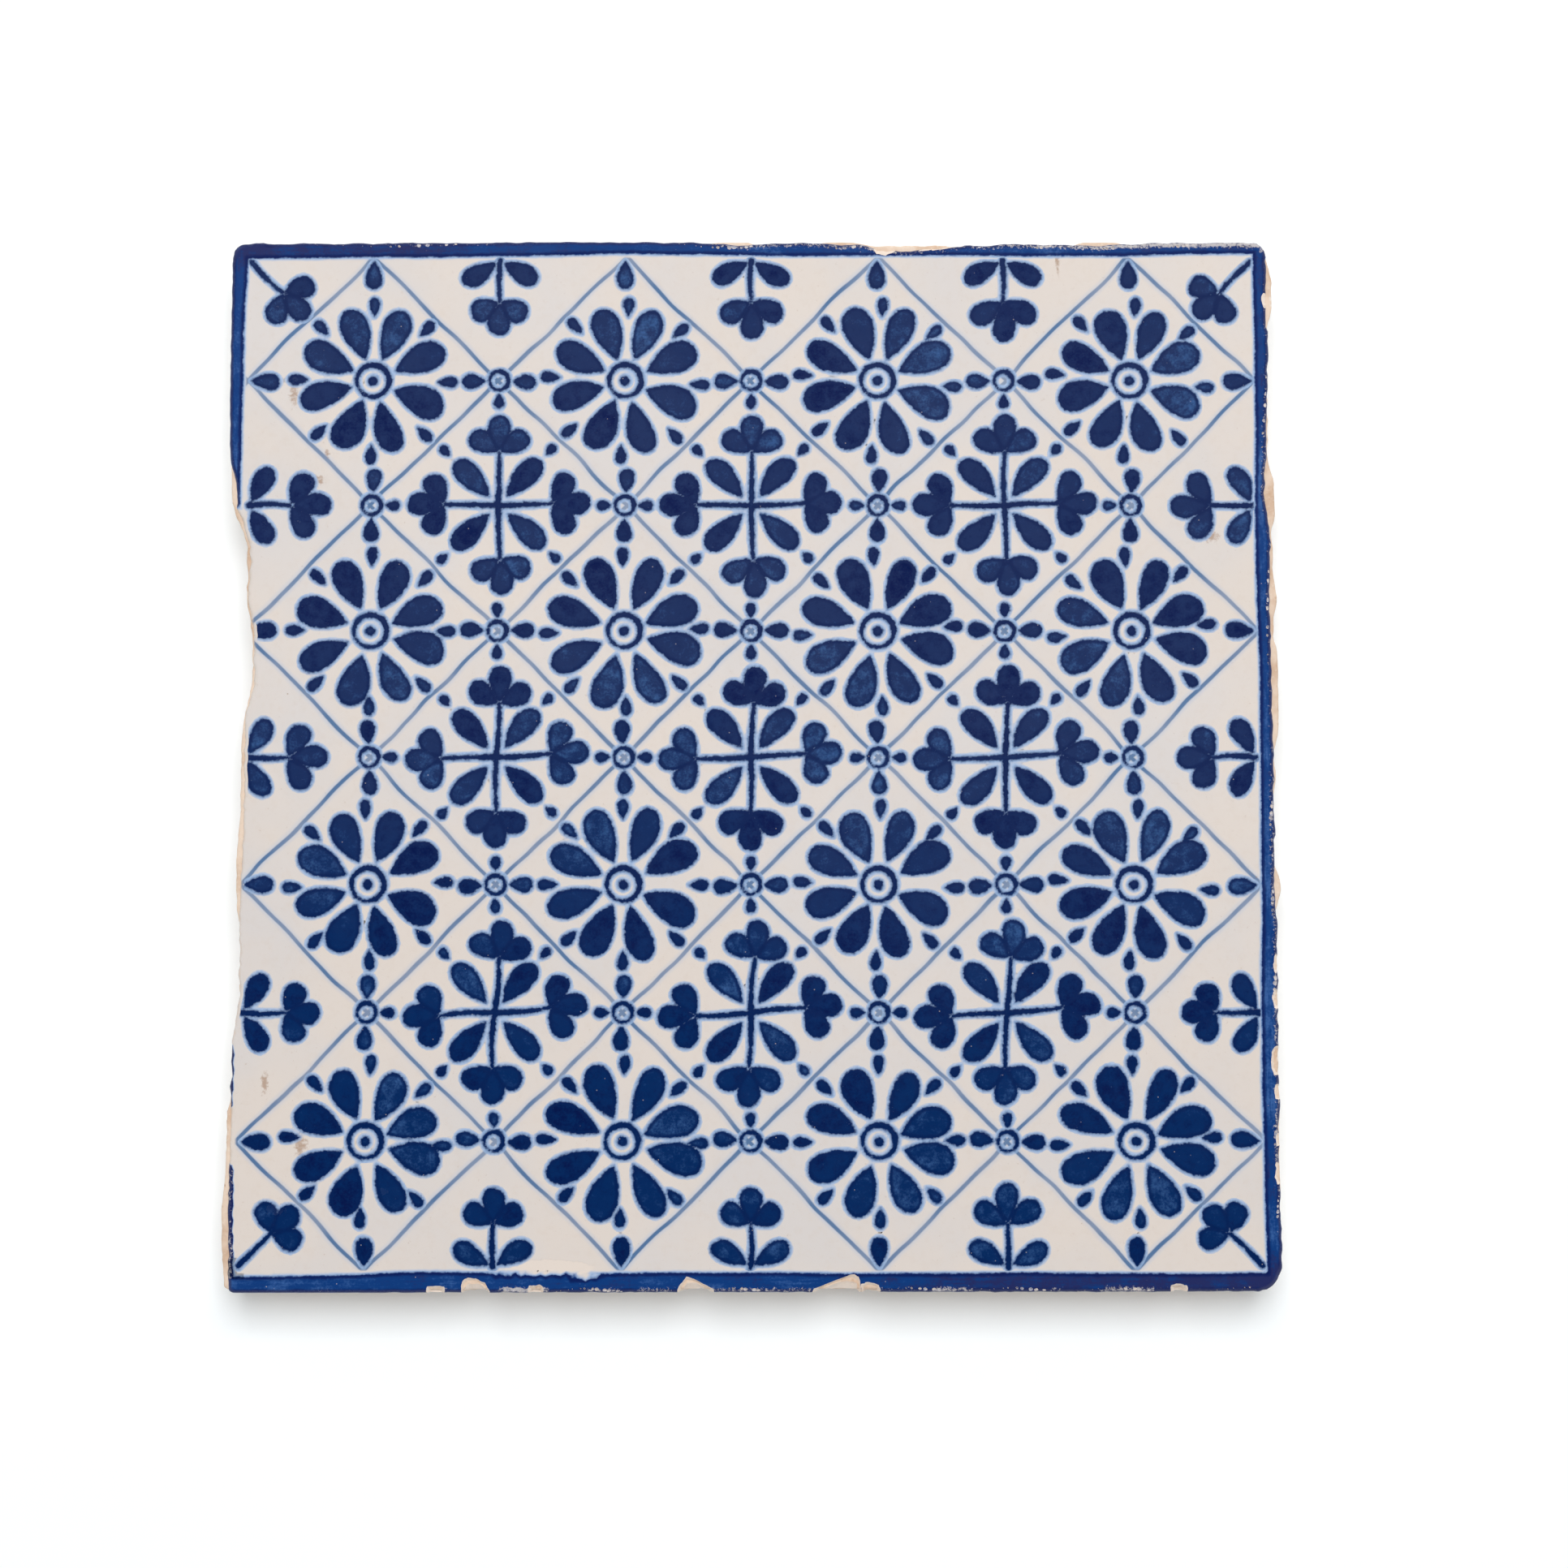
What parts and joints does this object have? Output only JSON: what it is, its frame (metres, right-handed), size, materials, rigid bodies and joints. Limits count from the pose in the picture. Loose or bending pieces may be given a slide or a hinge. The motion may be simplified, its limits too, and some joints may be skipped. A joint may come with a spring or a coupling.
{
  "type": "wall tile",
  "caption": "Square tin-glazed earthenware wall tile, painted in cobalt blue with rosettes and crosses inside a plain frame, with a bare flat back for bedding.",
  "frame": {"origin": "centre of the tile's square on the plane of the bare back", "axes": "+Z out of the painted face, +Y towards the top edge of the painting, +X to the right of it"},
  "size_m": [0.13, 0.1299, 0.0085],
  "materials": {
    "biscuit": "matte",
    "tin_glaze": "gloss",
    "cobalt_border": "gloss",
    "cobalt_motif": "gloss"
  },
  "bodies": {
    "root": {"clay_body": "biscuit", "tin_glaze": "tin_glaze", "border_bottom": "cobalt_border", "border_left_lower": "cobalt_border", "border_left_upper": "cobalt_border", "border_right": "cobalt_border", "border_top_left": "cobalt_border", "border_top_right": "cobalt_border", "corner_sprig_bottom_left": "cobalt_motif", "corner_sprig_bottom_right": "cobalt_motif", "corner_sprig_top_left": "cobalt_motif", "corner_sprig_top_right": "cobalt_motif", "cross_1_1": "cobalt_motif", "cross_1_2": "cobalt_motif", "cross_1_3": "cobalt_motif", "cross_2_1": "cobalt_motif", "cross_2_2": "cobalt_motif", "cross_2_3": "cobalt_motif", "cross_3_1": "cobalt_motif", "cross_3_2": "cobalt_motif", "cross_3_3": "cobalt_motif", "rosette_1_1": "cobalt_motif", "rosette_1_2": "cobalt_motif", "rosette_1_3": "cobalt_motif", "rosette_1_4": "cobalt_motif", "rosette_2_1": "cobalt_motif", "rosette_2_2": "cobalt_motif", "rosette_2_3": "cobalt_motif", "rosette_2_4": "cobalt_motif", "rosette_3_1": "cobalt_motif", "rosette_3_2": "cobalt_motif", "rosette_3_3": "cobalt_motif", "rosette_3_4": "cobalt_motif", "rosette_4_1": "cobalt_motif", "rosette_4_2": "cobalt_motif", "rosette_4_3": "cobalt_motif", "rosette_4_4": "cobalt_motif", "sprig_bottom_1": "cobalt_motif", "sprig_bottom_2": "cobalt_motif", "sprig_bottom_3": "cobalt_motif", "sprig_left_1": "cobalt_motif", "sprig_left_2": "cobalt_motif", "sprig_left_3": "cobalt_motif", "sprig_right_1": "cobalt_motif", "sprig_right_2": "cobalt_motif", "sprig_right_3": "cobalt_motif", "sprig_top_1": "cobalt_motif", "sprig_top_2": "cobalt_motif", "sprig_top_3": "cobalt_motif"}
  },
  "joints": []
}
